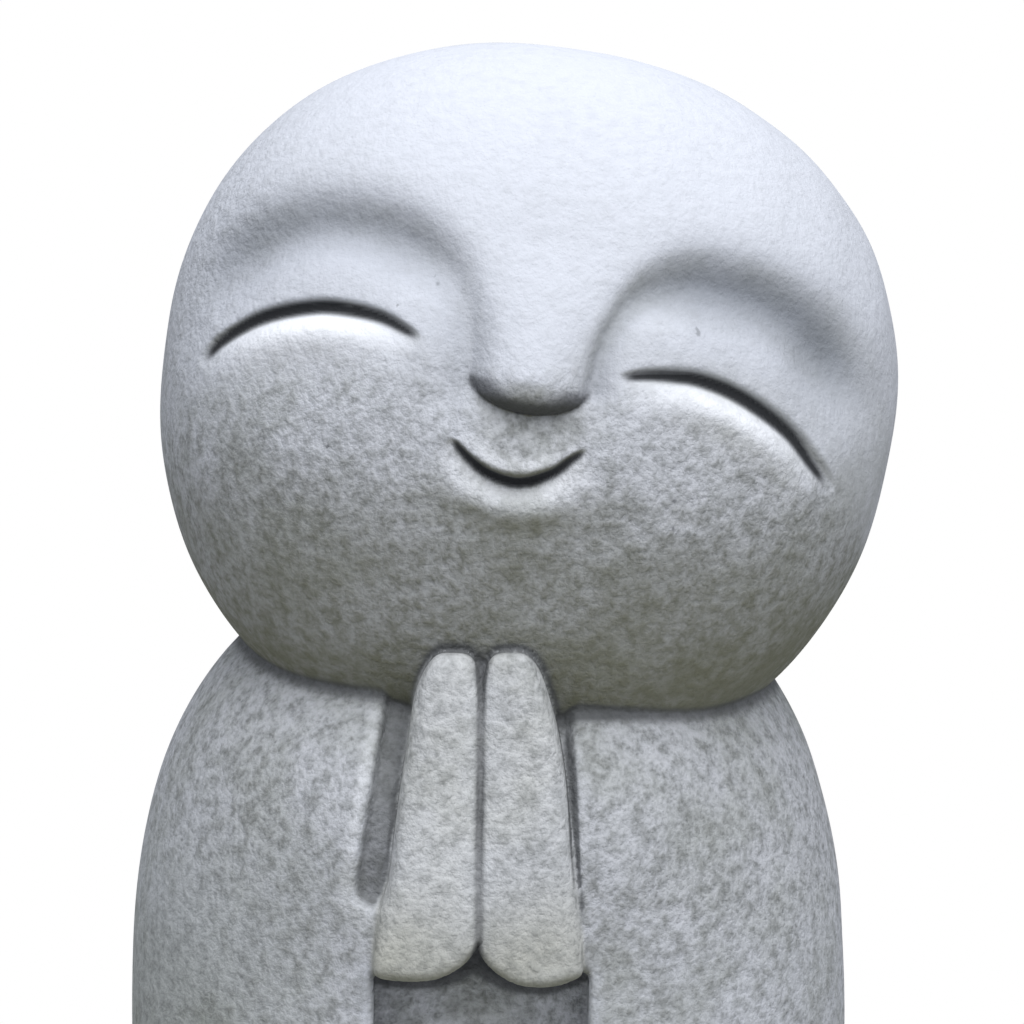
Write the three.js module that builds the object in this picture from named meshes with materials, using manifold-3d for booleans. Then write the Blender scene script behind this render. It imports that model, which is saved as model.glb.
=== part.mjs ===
// A stone jizo: a small praying monk with a large smiling head, cut from one block with its low base.
// Millimetres, +Z up. The figure faces -Y, and +X is on the viewer's right.
// The origin is the middle of the underside, under the axis of the robe.
import * as THREE from "three";
import { mergeVertices } from "three/addons/utils/BufferGeometryUtils.js";
import Module from "manifold-3d";

const wasm = await Module();
wasm.setup();

// The whole figure
const STATUE_HEIGHT = 450;
const COLUMNS_ROUND = 48;

// Low base: an oval slab with a rounded top edge
const BASE_WIDTH = 224;
const BASE_DEPTH = 196;
const BASE_HEIGHT = 22;
const BASE_EDGE = 6;

// Inner robe: it shows between the sleeves and below their hem, and flares at the foot
const ROBE_WIDTH = 200;
const ROBE_FRONT = 78;
const ROBE_BACK = 84;
const ROBE_FLARE = 1.05;

// Outer robe with its hanging sleeves: a barrel with superelliptic shoulders
const SLEEVES_WIDTH = 215;
const SLEEVES_FRONT = 93;
const SLEEVES_BACK = 90;
const SLEEVES_HEM = 62;
const SHOULDER_RISE = 143;
const SHOULDER_SINK = 46;
const SHOULDER_POWER = 2.5;
const OVAL_POWER = 2.2;
const HEM_TAPER = 0.955;
const HEM_EDGE = 4;

// The viewer's left shoulder is a little lower, the chest draws back under the chin, and each
// sleeve swells over its forearm
const LEFT_SHOULDER_DROP = 3;
const CHEST_DRAWN_BACK = 5;
const FOREARM_SWELL = 8.5;
const FOREARM_HEIGHT = 34;
const FOREARM_INNER_WIDTH = 14;
const FOREARM_OUTER_WIDTH = 30;

// Opening between the sleeves, below the hands
const OPENING_WIDTH = 60;
const OPENING_CORNER = 15;
const OPENING_BEHIND_HEELS = 4.7;

// Head: an egg with a broad lower half, tilted towards the viewer's right
const HEAD_WIDTH = 218;
const HEAD_DEPTH = 190;
const HEAD_ABOVE = 100.8;
const HEAD_BELOW = 112.2;
const HEAD_POWER = 2.18;
const HEAD_TILT_DEG = 9.2;
const HEAD_SIDEWAYS = 12.4;
const HEAD_FORWARD = 8;
const HEAD_COLUMNS = 62;
const HEAD_ROWS = 44;
const FACE_CROWDING = 0.36;

// Depths of the carving on the face
const SLIT_DEPTH = 5;
const SLIT_WIDTH = 4.2;
const BROW_DEPTH = 6.8;
const BROW_WIDTH_ABOVE = 9;
const BROW_WIDTH_BELOW = 12;
const NOSE_HEIGHT = 8.5;
const CHEEK_SWELL = 5.5;
const LIP_SWELL = 3.2;
const CHIN_SWELL = 4;

// Praying hands: two mitts side by side, leaning against the chin
const HAND_LENGTH = 93;
const HAND_TIP_WIDTH = 19.2;
const HAND_HEEL_WIDTH = 31;
const HAND_TIP_FRONT = 95.5;
const HAND_HEEL_FRONT = 100;
const HAND_THICKNESS = 50;
const HAND_INNER_TIP_POWER = 6;
const HAND_OUTER_TIP_POWER = 2.8;
const HAND_INNER_HEEL_POWER = 2.8;
const HAND_OUTER_HEEL_POWER = 8;
const HAND_EDGE_POWER = 5;
const HAND_OVERLAP = 1;
const HAND_COLUMNS = 22;
const HAND_ROWS = 16;
const HANDS_SIDEWAYS = -1.8;
const TIPS_BELOW_FACE_CENTRE = 71;

// Grooves that part the sleeves from the hands
const CUFF_GROOVE_WIDTH = 5.2;
const CUFF_GROOVE_DEPTH = 4.5;
const LEFT_CUFF_TAPER = 1;
const LEFT_CUFF_SHARE = 0.72;
const RIGHT_CUFF_TAPER = 0.4;
const RIGHT_CUFF_SHARE = 0.93;

const TILT = THREE.MathUtils.degToRad(HEAD_TILT_DEG);
const headHalf = HEAD_WIDTH / 2;

// The reach of a tilted superellipse straight up, so that the crown comes at the statue's full height.
function tiltedReach(across, above, power, tilt) {
  const dual = power / (power - 1);
  return ((across * Math.sin(tilt)) ** dual + (above * Math.cos(tilt)) ** dual) ** (1 / dual);
}

const headCentre = new THREE.Vector3(
  HEAD_SIDEWAYS,
  -HEAD_FORWARD,
  STATUE_HEIGHT - tiltedReach(headHalf, HEAD_ABOVE, HEAD_POWER, TILT),
);
const shoulderTop = headCentre.z - SHOULDER_SINK;
const shoulderStart = shoulderTop - SHOULDER_RISE;
const tipHeight = headCentre.z - TIPS_BELOW_FACE_CENTRE;
const heelHeight = tipHeight - HAND_LENGTH;

const toWorld = new THREE.Matrix4().makeRotationY(TILT).setPosition(headCentre);

// A closed geometry as a solid that can be joined and cut.
function solid(geometry) {
  const bare = geometry.clone();
  bare.deleteAttribute("normal");
  bare.deleteAttribute("uv");
  const merged = mergeVertices(bare, 1e-3);
  const corners = merged.index.array;
  const kept = [];
  for (let i = 0; i < corners.length; i += 3) {
    const [a, b, c] = corners.slice(i, i + 3);
    if (a !== b && b !== c && c !== a) kept.push(a, b, c);
  }
  return new wasm.Manifold(
    new wasm.Mesh({
      numProp: 3,
      vertProperties: new Float32Array(merged.getAttribute("position").array),
      triVerts: new Uint32Array(kept),
    }),
  );
}

function geometryOf(made) {
  const mesh = made.getMesh();
  const geometry = new THREE.BufferGeometry();
  geometry.setAttribute("position", new THREE.BufferAttribute(mesh.vertProperties, mesh.numProp));
  geometry.setIndex(new THREE.BufferAttribute(mesh.triVerts, 1));
  geometry.computeVertexNormals();
  return geometry;
}

// Moves every vertex of a geometry to where place(x, y, z) says.
function reshape(geometry, place) {
  const position = geometry.getAttribute("position");
  for (let i = 0; i < position.count; i++) {
    const moved = place(position.getX(i), position.getY(i), position.getZ(i));
    position.setXYZ(i, moved.x, moved.y, moved.z);
  }
  return geometry;
}

const clamp01 = (x) => Math.min(1, Math.max(0, x));

function smoothstep(low, high, x) {
  const t = clamp01((x - low) / (high - low));
  return t * t * (3 - 2 * t);
}

const bell = (x) => Math.exp(-x * x);

// A turned profile of [share of the full width, height] pairs, pressed into a superelliptic oval
// with its own half width and its own reach to the front and the back.
function pressedOval(profile, halfWidth, front, back) {
  const turned = new THREE.LatheGeometry(
    profile.map(([share, height]) => new THREE.Vector2(share, height)),
    COLUMNS_ROUND,
  );
  return reshape(turned, (x, y, z) => {
    const share = Math.hypot(x, z);
    if (share === 0) return new THREE.Vector3(0, 0, y);
    const [across, along] = [x / share, z / share];
    const round = (Math.abs(across) ** OVAL_POWER + Math.abs(along) ** OVAL_POWER) ** (-1 / OVAL_POWER);
    const reach = along > 0 ? front : back;
    return new THREE.Vector3(share * round * across * halfWidth, -share * round * along * reach, y);
  });
}

function base() {
  const [halfWidth, halfDepth] = [BASE_WIDTH / 2, BASE_DEPTH / 2];
  const edgeShare = BASE_EDGE / halfWidth;
  const steps = 4;
  const profile = [
    [0, 0],
    [1 - edgeShare / 4, 0],
    [1, BASE_EDGE / 4],
  ];
  for (let i = 0; i <= steps; i++) {
    const turn = (i / steps) * (Math.PI / 2);
    profile.push([
      1 - edgeShare * (1 - Math.cos(turn)),
      BASE_HEIGHT - BASE_EDGE * (1 - Math.sin(turn)),
    ]);
  }
  profile.push([0, BASE_HEIGHT]);
  return solid(pressedOval(profile, halfWidth, halfDepth, halfDepth));
}

// The inner robe stands in the base and ends inside the shoulders.
function innerRobe() {
  const foot = BASE_HEIGHT / 2;
  const top = heelHeight + HAND_LENGTH / 4;
  const steps = 6;
  const profile = [[0, foot]];
  for (let i = 0; i <= steps; i++) {
    const rise = i / steps;
    const height = foot + (SLEEVES_HEM + HEM_EDGE - foot) * rise;
    profile.push([1 + (ROBE_FLARE - 1) * (1 - rise) ** 2, height]);
  }
  profile.push([1, top], [0, top]);
  return solid(pressedOval(profile, ROBE_WIDTH / 2, ROBE_FRONT, ROBE_BACK));
}

// Share of the full width that the outer robe has at a height: it tapers to the hem and
// closes over the shoulders as a superellipse.
function robeShare(height) {
  const over = clamp01((height - shoulderStart) / SHOULDER_RISE);
  const under = clamp01((shoulderStart - height) / (shoulderStart - SLEEVES_HEM));
  return (1 - over ** SHOULDER_POWER) ** (1 / SHOULDER_POWER) * (1 - (1 - HEM_TAPER) * under ** 2);
}

// Height of the swelling over each forearm at a place of the robe, highest beside the hands.
function forearm(x, y, z) {
  const out = Math.abs(x - HANDS_SIDEWAYS) - OPENING_WIDTH / 2;
  const across = bell(out / (out > 0 ? FOREARM_OUTER_WIDTH : FOREARM_INNER_WIDTH));
  const up = bell((z - (tipHeight + heelHeight) / 2) / FOREARM_HEIGHT);
  return FOREARM_SWELL * across * up * smoothstep(0.2, 0.5, -y / SLEEVES_FRONT);
}

// The turned robe, with the swellings over the forearms, the drawn-back chest and the lower left
// shoulder.
function handmade(robe) {
  return reshape(robe, (x, y, z) => {
    const out = Math.hypot(x, y) || 1;
    const grown = 1 + forearm(x, y, z) / out;
    const rise = (z - shoulderStart) / SHOULDER_RISE;
    const back = y < 0 ? (CHEST_DRAWN_BACK / SLEEVES_FRONT) * smoothstep(0.55, 0.85, rise) : 0;
    const left = smoothstep(0.2, -0.6, (2 * x) / SLEEVES_WIDTH);
    const drop = LEFT_SHOULDER_DROP * left * smoothstep(0.5, 0.9, rise);
    return new THREE.Vector3(x * grown, y * grown * (1 - back), z - drop);
  });
}

function outerRobe() {
  const hemShare = robeShare(SLEEVES_HEM);
  const edge = HEM_EDGE / (SLEEVES_WIDTH / 2);
  const profile = [
    [0, SLEEVES_HEM],
    [hemShare - edge, SLEEVES_HEM],
    [hemShare - edge / 4, SLEEVES_HEM + HEM_EDGE / 4],
    [hemShare, SLEEVES_HEM + HEM_EDGE],
  ];
  const sideSteps = 4;
  for (let i = 1; i <= sideSteps; i++) {
    const from = SLEEVES_HEM + HEM_EDGE;
    const height = from + (shoulderStart - from) * (i / sideSteps);
    profile.push([robeShare(height), height]);
  }
  const domeSteps = 11;
  for (let i = 1; i < domeSteps; i++) {
    const over = Math.sin((i / domeSteps) * (Math.PI / 2)) ** (2 / SHOULDER_POWER);
    const height = shoulderStart + SHOULDER_RISE * over;
    profile.push([robeShare(height), height]);
  }
  profile.push([0, shoulderTop]);
  return solid(handmade(pressedOval(profile, SLEEVES_WIDTH / 2, SLEEVES_FRONT, SLEEVES_BACK)));
}

// An upright prism: an outline drawn in x and z, running forward from one y to another.
function prism(shape, fromY, toY, options = {}) {
  const geometry = new THREE.ExtrudeGeometry(shape, {
    depth: Math.abs(toY - fromY),
    bevelEnabled: false,
    ...options,
  });
  return geometry.rotateX(Math.PI / 2).translate(0, Math.max(fromY, toY), 0);
}

// The opening between the sleeves: straight sides with the sleeves' lower corners rounded off.
function sleeveOpening() {
  const half = OPENING_WIDTH / 2;
  const spread = half + OPENING_CORNER;
  const bottom = SLEEVES_HEM - HEM_EDGE;
  const top = heelHeight + OPENING_BEHIND_HEELS;
  const shape = new THREE.Shape()
    .moveTo(-spread - OPENING_CORNER, bottom)
    .quadraticCurveTo(-half, SLEEVES_HEM, -half, SLEEVES_HEM + 2 * OPENING_CORNER)
    .lineTo(-half, top)
    .lineTo(half, top)
    .lineTo(half, SLEEVES_HEM + 2 * OPENING_CORNER)
    .quadraticCurveTo(half, SLEEVES_HEM, spread + OPENING_CORNER, bottom);
  return solid(prism(shape, 0, -2 * SLEEVES_FRONT, { curveSegments: 8 }).translate(HANDS_SIDEWAYS, 0, 0));
}

// A mitt: a rounded block that widens from its tip to its heel, whose outer edge leans away from
// the middle line, and whose heel stands further forward than its tip.
function hand(side) {
  const ball = new THREE.SphereGeometry(1, HAND_COLUMNS, HAND_ROWS);
  reshape(ball, (x, y, z) => {
    const outer = x * side > 0;
    const tipPower = outer ? HAND_OUTER_TIP_POWER : HAND_INNER_TIP_POWER;
    const heelPower = outer ? HAND_OUTER_HEEL_POWER : HAND_INNER_HEEL_POWER;
    const power = y > 0 ? tipPower : heelPower;
    const outline = (Math.abs(x) ** power + Math.abs(y) ** power) ** (1 / power);
    const size = (outline ** HAND_EDGE_POWER + Math.abs(z) ** HAND_EDGE_POWER) ** (1 / HAND_EDGE_POWER);
    const [across, up, forward] = [x / size, y / size, z / size];
    const down = (1 - up) / 2;
    const half = (HAND_TIP_WIDTH + (HAND_HEEL_WIDTH - HAND_TIP_WIDTH) * down + HAND_OVERLAP) / 2;
    const front = HAND_TIP_FRONT + (HAND_HEEL_FRONT - HAND_TIP_FRONT) * down;
    return new THREE.Vector3(
      HANDS_SIDEWAYS + side * (half - HAND_OVERLAP) + half * across,
      -front + (HAND_THICKNESS / 2) * (1 - forward),
      tipHeight - HAND_LENGTH * down,
    );
  });
  return solid(ball);
}

// The groove between a hand and its sleeve: a strip along the hand's outer edge, whose width at the
// end is a share of its width at the top. The robe's own form, drawn in, is taken out of the cutter
// and keeps the groove to an even depth.
function cuffGroove(side, taper, lengthShare) {
  const edge = (down) => HAND_TIP_WIDTH + (HAND_HEEL_WIDTH - HAND_TIP_WIDTH) * down;
  const at = (out, down) => new THREE.Vector2(side * (edge(down) + out), tipHeight - down * HAND_LENGTH);
  const end = lengthShare - CUFF_GROOVE_WIDTH / HAND_LENGTH;
  const shape = new THREE.Shape([at(-CUFF_GROOVE_WIDTH, 0.05), at(CUFF_GROOVE_WIDTH, 0.05)]);
  shape.lineTo(...at(CUFF_GROOVE_WIDTH * taper, end));
  shape.quadraticCurveTo(...at(CUFF_GROOVE_WIDTH * taper, lengthShare), ...at(0, lengthShare));
  shape.lineTo(...at(-CUFF_GROOVE_WIDTH, lengthShare));
  const cut = prism(shape, 0, -2 * SLEEVES_FRONT, { curveSegments: 4 });
  return solid(cut.translate(HANDS_SIDEWAYS, 0, 0));
}

// A copy of the robe's form, smaller by one depth all round.
function drawnIn(made, depth) {
  const shrink = (half) => (half - depth) / half;
  return made.scale([shrink(SLEEVES_WIDTH / 2), shrink(SLEEVES_FRONT), 1]).translate([0, 0, -depth / 2]);
}

// The head's own frame: x to the viewer's right, y away from the viewer, z up, from its centre.
// Places on the face are shares of the head's half width.
const onFace = (across, up) => new THREE.Vector2(across * headHalf, up * headHalf);

// A carved line through three points of the face, as an arc.
function arcThrough(start, middle, end) {
  const determinant = 2 * ((middle.x - start.x) * (end.y - start.y) - (middle.y - start.y) * (end.x - start.x));
  const [m, e] = [middle.clone().sub(start), end.clone().sub(start)];
  const centre = new THREE.Vector2(
    start.x + (e.y * m.lengthSq() - m.y * e.lengthSq()) / determinant,
    start.y + (m.x * e.lengthSq() - e.x * m.lengthSq()) / determinant,
  );
  const radius = centre.distanceTo(start);
  const from = Math.atan2(start.y - centre.y, start.x - centre.x);
  const to = Math.atan2(end.y - centre.y, end.x - centre.x);
  return { centre, radius, from, to };
}

const LEFT_EYE = arcThrough(onFace(-0.865, -0.06), onFace(-0.56, 0.148), onFace(-0.295, 0.112));
const RIGHT_EYE = arcThrough(onFace(0.805, -0.105), onFace(0.5, 0.098), onFace(0.208, 0.095));
const MOUTH = arcThrough(onFace(-0.182, -0.126), onFace(0.003, -0.21), onFace(0.155, -0.104));

// Brow lines run from the temple over the eye and down the side of the nose.
const LEFT_BROW = browLine([
  [-0.91, 0.07],
  [-0.82, 0.24],
  [-0.66, 0.345],
  [-0.5, 0.37],
  [-0.37, 0.345],
  [-0.27, 0.285],
  [-0.207, 0.19],
  [-0.18, 0.1],
  [-0.174, 0.02],
]);
const RIGHT_BROW = browLine([
  [0.91, -0.02],
  [0.83, 0.1],
  [0.73, 0.205],
  [0.63, 0.295],
  [0.487, 0.356],
  [0.355, 0.357],
  [0.234, 0.297],
  [0.176, 0.2],
  [0.156, 0.11],
  [0.156, 0.046],
]);

function browLine(shares) {
  return new THREE.SplineCurve(shares.map(([across, up]) => onFace(across, up))).getPoints(36);
}

// Distance of a point from a brow line: how far, on which side (positive inside the eye socket),
// and how far along it, from 0 to 1.
function fromLine(line, x, z) {
  let best = { distance: Infinity };
  for (let i = 0; i + 1 < line.length; i++) {
    const [a, b] = [line[i], line[i + 1]];
    const [dx, dz] = [b.x - a.x, b.y - a.y];
    const along = clamp01(((x - a.x) * dx + (z - a.y) * dz) / (dx * dx + dz * dz));
    const [ox, oz] = [x - a.x - along * dx, z - a.y - along * dz];
    const distance = Math.hypot(ox, oz);
    if (distance < best.distance) {
      best = { distance, side: dx * oz - dz * ox, along: (i + along) / (line.length - 1) };
    }
  }
  return best;
}

// A brow: a soft slope down from the forehead and a wide rise to the eyelid.
function browGroove(line, inward, x, z) {
  const { distance, side, along } = fromLine(line, x, z);
  const above = side * inward < 0;
  const downTheNose = smoothstep(0.58, 0.86, along);
  const fade = smoothstep(-0.1, 0.18, along) * (1 - 0.8 * downTheNose);
  const width = (above ? BROW_WIDTH_ABOVE : BROW_WIDTH_BELOW) * (1 - 0.45 * downTheNose);
  return -BROW_DEPTH * fade * bell(distance / width);
}

// The nose: a soft ridge out of the brow that widens upwards and ends in a round ball.
function nose(x, z) {
  const [middle, ball] = [-0.011 * headHalf, 0.05 * headHalf];
  const up = clamp01((z - ball) / (0.358 * headHalf));
  const down = clamp01((ball - z) / (0.095 * headHalf));
  const across = (x - middle) / ((0.162 + 0.064 * up) * headHalf);
  const inside = Math.max(1 - across ** 2 - down ** 2, 0);
  return NOSE_HEIGHT * (1 - up) ** 1.2 * inside ** (0.8 + 0.7 * Math.min(4 * up, 1));
}

// Full cheeks to either side of the mouth, the low swelling of the lips between them, and the full
// underside of the face.
function cheeks(x, z) {
  const swell = (across) => bell(Math.hypot(x / headHalf - across, (z / headHalf + 0.24) * 1.15) / 0.42);
  const lips = bell(Math.hypot(x / headHalf + 0.01, (z / headHalf + 0.17) * 1.4) / 0.17);
  const chin = bell((z / headHalf + 0.8) / 0.27);
  return CHEEK_SWELL * (swell(-0.55) + swell(0.53)) + LIP_SWELL * lips + CHIN_SWELL * chin;
}

// How far the carving stands out from the bare egg at a point of the face.
function faceRelief(x, z) {
  return cheeks(x, z) + browGroove(LEFT_BROW, -1, x, z) + browGroove(RIGHT_BROW, 1, x, z) + nose(x, z);
}

// The head's surface in its own frame, moved in by a depth. The grid is crowded towards the face.
function headSkin(depth, columns, rows) {
  const crowd = (t) => FACE_CROWDING * t + (1 - FACE_CROWDING) * t ** 3;
  const ball = new THREE.SphereGeometry(1, columns, rows);
  return reshape(ball, (x, y, z) => {
    const polar = Math.acos(THREE.MathUtils.clamp(y, -1, 1));
    const turn = Math.atan2(x, z);
    const lift = (Math.PI / 2) * crowd(1 - polar / (Math.PI / 2));
    const round = Math.PI * crowd(turn / Math.PI);
    const flat = Math.cos(lift);
    const [dx, dy, dz] = [flat * Math.sin(round), -flat * Math.cos(round), Math.sin(lift)];
    const reach = dz > 0 ? HEAD_ABOVE : HEAD_BELOW;
    const form =
      (Math.abs(dx / headHalf) ** HEAD_POWER +
        Math.abs(dy / (HEAD_DEPTH / 2)) ** HEAD_POWER +
        Math.abs(dz / reach) ** HEAD_POWER) **
      (-1 / HEAD_POWER);
    const facing = smoothstep(0.1, 0.55, -dy);
    const radius = form + facing * faceRelief(dx * form, dz * form) - depth;
    return new THREE.Vector3(dx * radius, dy * radius, dz * radius);
  });
}

// A crescent along an arc, pointed at both ends, as a prism through the front of the head.
function crescent(arc) {
  const steps = 14;
  const edge = (sign) =>
    Array.from({ length: steps - 1 }, (_, k) => {
      const t = (k + 1) / steps;
      const angle = arc.from + (arc.to - arc.from) * t;
      const radius = arc.radius + (sign * SLIT_WIDTH * Math.sin(Math.PI * t) ** 0.6) / 2;
      return new THREE.Vector2(arc.centre.x + radius * Math.cos(angle), arc.centre.y + radius * Math.sin(angle));
    });
  const tip = (angle) =>
    new THREE.Vector2(arc.centre.x + arc.radius * Math.cos(angle), arc.centre.y + arc.radius * Math.sin(angle));
  const outline = [tip(arc.from), ...edge(1), tip(arc.to), ...edge(-1).reverse()];
  return solid(prism(new THREE.Shape(outline), 0, -HEAD_DEPTH));
}

function head() {
  const bare = solid(headSkin(0, HEAD_COLUMNS, HEAD_ROWS));
  const core = solid(headSkin(SLIT_DEPTH, HEAD_COLUMNS, HEAD_ROWS));
  const slits = [LEFT_EYE, RIGHT_EYE, MOUTH].map((arc) => crescent(arc).subtract(core));
  const carved = slits.reduce((made, slit) => made.subtract(slit), bare);
  return solid(geometryOf(carved).applyMatrix4(toWorld));
}

function statue() {
  const robe = outerRobe();
  const robeCore = drawnIn(robe, CUFF_GROOVE_DEPTH);
  const grooves = [
    cuffGroove(-1, LEFT_CUFF_TAPER, LEFT_CUFF_SHARE),
    cuffGroove(1, RIGHT_CUFF_TAPER, RIGHT_CUFF_SHARE),
  ];
  const cuts = [sleeveOpening(), ...grooves.map((groove) => groove.subtract(robeCore))];
  const sleeves = cuts.reduce((made, cut) => made.subtract(cut), robe);
  return [base(), innerRobe(), hand(-1), hand(1), head()].reduce((made, piece) => made.add(piece), sleeves);
}

const stone = new THREE.MeshStandardMaterial({ color: 0x9ea1a8, roughness: 0.92, metalness: 0 });
const mesh = new THREE.Mesh(geometryOf(statue()), stone);
mesh.name = "jizo_statue";

const model = new THREE.Group();
model.add(mesh);

export default model;
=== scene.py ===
"""A stone jizo: a small praying monk with a large smiling head, cut from one block with its base.

The skin is one closed mesh over the whole figure. Its shape is a signed distance, in millimetres,
put together from the carved forms; rays over two parameters, the turn about the figure and the
rise along it, find the surface, and the mesh is then split finer where the carving bends.
"""

import logging
import math
from collections.abc import Callable
from dataclasses import dataclass, field
from enum import Enum
from typing import Any

import bpy
import numpy as np
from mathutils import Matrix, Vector

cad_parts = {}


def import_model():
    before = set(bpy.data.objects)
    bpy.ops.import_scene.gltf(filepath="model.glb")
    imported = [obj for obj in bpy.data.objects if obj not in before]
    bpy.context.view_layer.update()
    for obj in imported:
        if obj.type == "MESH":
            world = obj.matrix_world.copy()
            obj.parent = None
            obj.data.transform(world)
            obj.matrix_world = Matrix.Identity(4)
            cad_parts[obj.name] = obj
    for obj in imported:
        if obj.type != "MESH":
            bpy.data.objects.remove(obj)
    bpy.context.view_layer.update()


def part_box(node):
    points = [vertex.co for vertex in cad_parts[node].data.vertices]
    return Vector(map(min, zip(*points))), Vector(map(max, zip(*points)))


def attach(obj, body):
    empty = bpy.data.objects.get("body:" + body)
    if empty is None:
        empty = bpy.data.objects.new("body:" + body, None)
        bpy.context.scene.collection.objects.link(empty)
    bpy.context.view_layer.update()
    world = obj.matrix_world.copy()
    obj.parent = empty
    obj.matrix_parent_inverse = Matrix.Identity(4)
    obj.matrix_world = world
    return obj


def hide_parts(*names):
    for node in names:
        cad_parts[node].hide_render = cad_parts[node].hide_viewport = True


Array = np.ndarray
Mask = Callable[[Array, Array], Array]
LOG = logging.getLogger("jizo")
MM = 0.001  # metres in a millimetre
TINY = 1e-9  # least size that anything is divided by
GROUND = 1e-6  # highest place, in mm, that counts as the underside


class Side(Enum):
    """A side of the figure, as the viewer who faces it sees it."""

    LEFT = -1
    RIGHT = 1


# Shape helpers


def smooth_min(a: Array, b: Array, radius: float) -> Array:
    """Join two forms with a fillet.

    The lower of the two distances, less a quadratic bump where they differ by under the radius.

    Args:
        a: Distances to the first form.
        b: Distances to the second form.
        radius: Width of the fillet in mm.

    Returns:
        Distances to the joined form.
    """
    near = np.maximum(radius - np.abs(a - b), 0.0) / radius
    return np.minimum(a, b) - 0.25 * radius * near * near


def smooth_max(a: Array, b: Array, radius: float) -> Array:
    """Keep what two forms share, with rounded edges: smooth_min turned inside out."""
    return -smooth_min(-a, -b, radius)


def step(low: float, high: float, x: Array) -> Array:
    """A smooth step from 0 at low to 1 at high: 3 t squared less 2 t cubed."""
    t = np.clip((x - low) / (high - low), 0.0, 1.0)
    return t * t * (3.0 - 2.0 * t)


def bell(x: Array) -> Array:
    """A bell of height 1 and width 1: e to the minus x squared."""
    return np.exp(-x * x)


def oval(x: Array, y: Array, half_width: float, front: float, back: float, power: float) -> Array:
    """Reach of a superelliptic oval in the direction of each point.

    The sum of the two direction shares, each over its half axis and to the power, to minus one
    over the power. The front half axis holds on the -Y side.

    Args:
        x: Place across.
        y: Place from front to back.
        half_width: Half axis across, in mm.
        front: Half axis to the front.
        back: Half axis to the back.
        power: Power of the oval.

    Returns:
        Distance from the axis to the oval's edge.
    """
    size = np.maximum(np.hypot(x, y), TINY)
    reach = np.where(y < 0.0, front, back)
    shares = np.abs(x / size / half_width) ** power + np.abs(y / size / reach) ** power
    return np.maximum(shares, TINY) ** (-1.0 / power)


def sides_of(faces: Array) -> Array:
    """Every side of every triangle, as its two corners in order."""
    return np.stack([faces, np.roll(faces, -1, 1)], 2).reshape(-1, 2)


def around(points: Array, faces: Array) -> Array:
    """Mean of each point's neighbours over the sides that start at it."""
    a, b = sides_of(faces).T
    total = np.stack([np.bincount(a, points[b, k], len(points)) for k in range(3)], 1)
    return total / np.bincount(a, minlength=len(points))[:, None]


class CarvedLine:
    """A smooth line through points of the face, with distances to it."""

    def __init__(self, points: list[tuple[float, float]], pieces: int = 6) -> None:
        """Run a Catmull-Rom curve through the points.

        Args:
            points: Places on the face, across and up, in mm.
            pieces: Straight pieces to each stretch between two points.
        """
        knots = np.array(points)
        knots = np.vstack([2 * knots[0] - knots[1], knots, 2 * knots[-1] - knots[-2]])
        t = np.linspace(0.0, 1.0, pieces, endpoint=False)[:, None]
        runs = [self._stretch(knots[i : i + 4], t) for i in range(len(knots) - 3)]
        self.path: Array = np.vstack([*runs, knots[-2][None]])
        steps = np.hypot(*np.diff(self.path, axis=0).T)
        self.length = float(steps.sum())
        self.starts: Array = np.concatenate([[0.0], np.cumsum(steps)[:-1]]) / self.length
        self.shares: Array = steps / self.length

    @staticmethod
    def _stretch(k: Array, t: Array) -> Array:
        """One stretch of the curve: the Catmull-Rom cubic of four knots."""
        line = 2 * k[1] + (k[2] - k[0]) * t
        bend = (2 * k[0] - 5 * k[1] + 4 * k[2] - k[3]) * t**2 + (3 * k[1] - k[0] - 3 * k[2] + k[3]) * t**3
        return 0.5 * (line + bend)

    def near(self, u: Array, v: Array) -> tuple[Array, Array]:
        """Signed distance to the line and the share of the way along it.

        The distance is positive on the left of the line's direction. Every point is set against
        every straight piece, and the closest one counts.

        Args:
            u: Places across.
            v: Places up.

        Returns:
            The signed distances in mm and the shares from 0 to 1.
        """
        a, d = self.path[:-1], np.diff(self.path, axis=0)
        du, dv = u[:, None] - a[:, 0], v[:, None] - a[:, 1]
        along = np.clip((du * d[:, 0] + dv * d[:, 1]) / (d**2).sum(1), 0.0, 1.0)
        ou, ov = du - along * d[:, 0], dv - along * d[:, 1]
        gaps = np.hypot(ou, ov)
        best = gaps.argmin(1)
        rows = np.arange(len(u))
        side = np.sign(d[best, 0] * ov[rows, best] - d[best, 1] * ou[rows, best])
        return gaps[rows, best] * side, self.starts[best] + self.shares[best] * along[rows, best]


# The carved forms


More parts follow.
